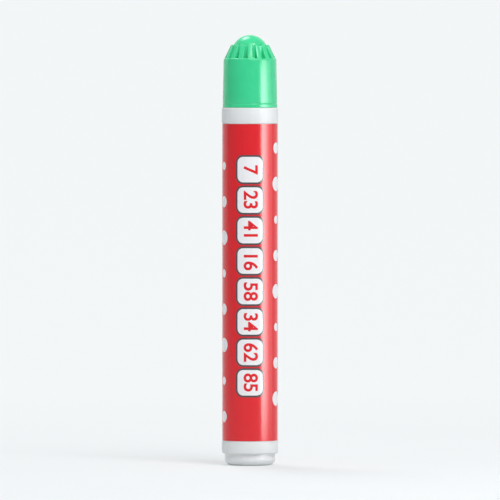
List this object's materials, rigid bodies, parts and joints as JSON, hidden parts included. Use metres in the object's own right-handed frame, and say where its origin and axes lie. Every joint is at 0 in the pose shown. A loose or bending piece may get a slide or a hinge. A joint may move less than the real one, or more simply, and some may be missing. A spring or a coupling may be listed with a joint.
{
  "type": "bingo dauber",
  "caption": "Slim ink dauber for marking bingo tickets: labelled barrel with a fibre reservoir and a domed felt nib under a ribbed pull-off cap.",
  "frame": {"origin": "centre of the end plug's flat base, where the dauber stands", "axes": "+Z along the pen's axis, from the end plug up to the cap's dome; the pen is round, and +X passes through a grip rib"},
  "size_m": [0.0164, 0.0164, 0.125],
  "materials": {
    "barrel_white": "moulded polypropylene, glossy",
    "label_film": "printed film, glossy",
    "plug_white": "moulded polyethylene, semi-gloss",
    "holder_white": "moulded polypropylene, satin",
    "nib_felt": "bonded fibre felt, wet with ink",
    "reservoir_fibre": "bundled polyester fibre, soaked with ink",
    "wrap_film": "thin clear film",
    "cap_green": "moulded polypropylene, glossy",
    "liner_natural": "soft natural polyethylene, satin"
  },
  "bodies": {
    "pen": {"barrel": "barrel_white", "label": "label_film", "end_plug": "plug_white", "nib_holder": "holder_white", "nib": "nib_felt", "ink_reservoir": "reservoir_fibre", "reservoir_wrap": "wrap_film"},
    "cap": {"cap": "cap_green", "cap_liner": "liner_natural"}
  },
  "joints": [
    {"name": "cap_pull", "type": "slide", "parent": "pen", "child": "cap", "axis": [0, 0, 1], "range_m": [0, 0.03]}
  ]
}
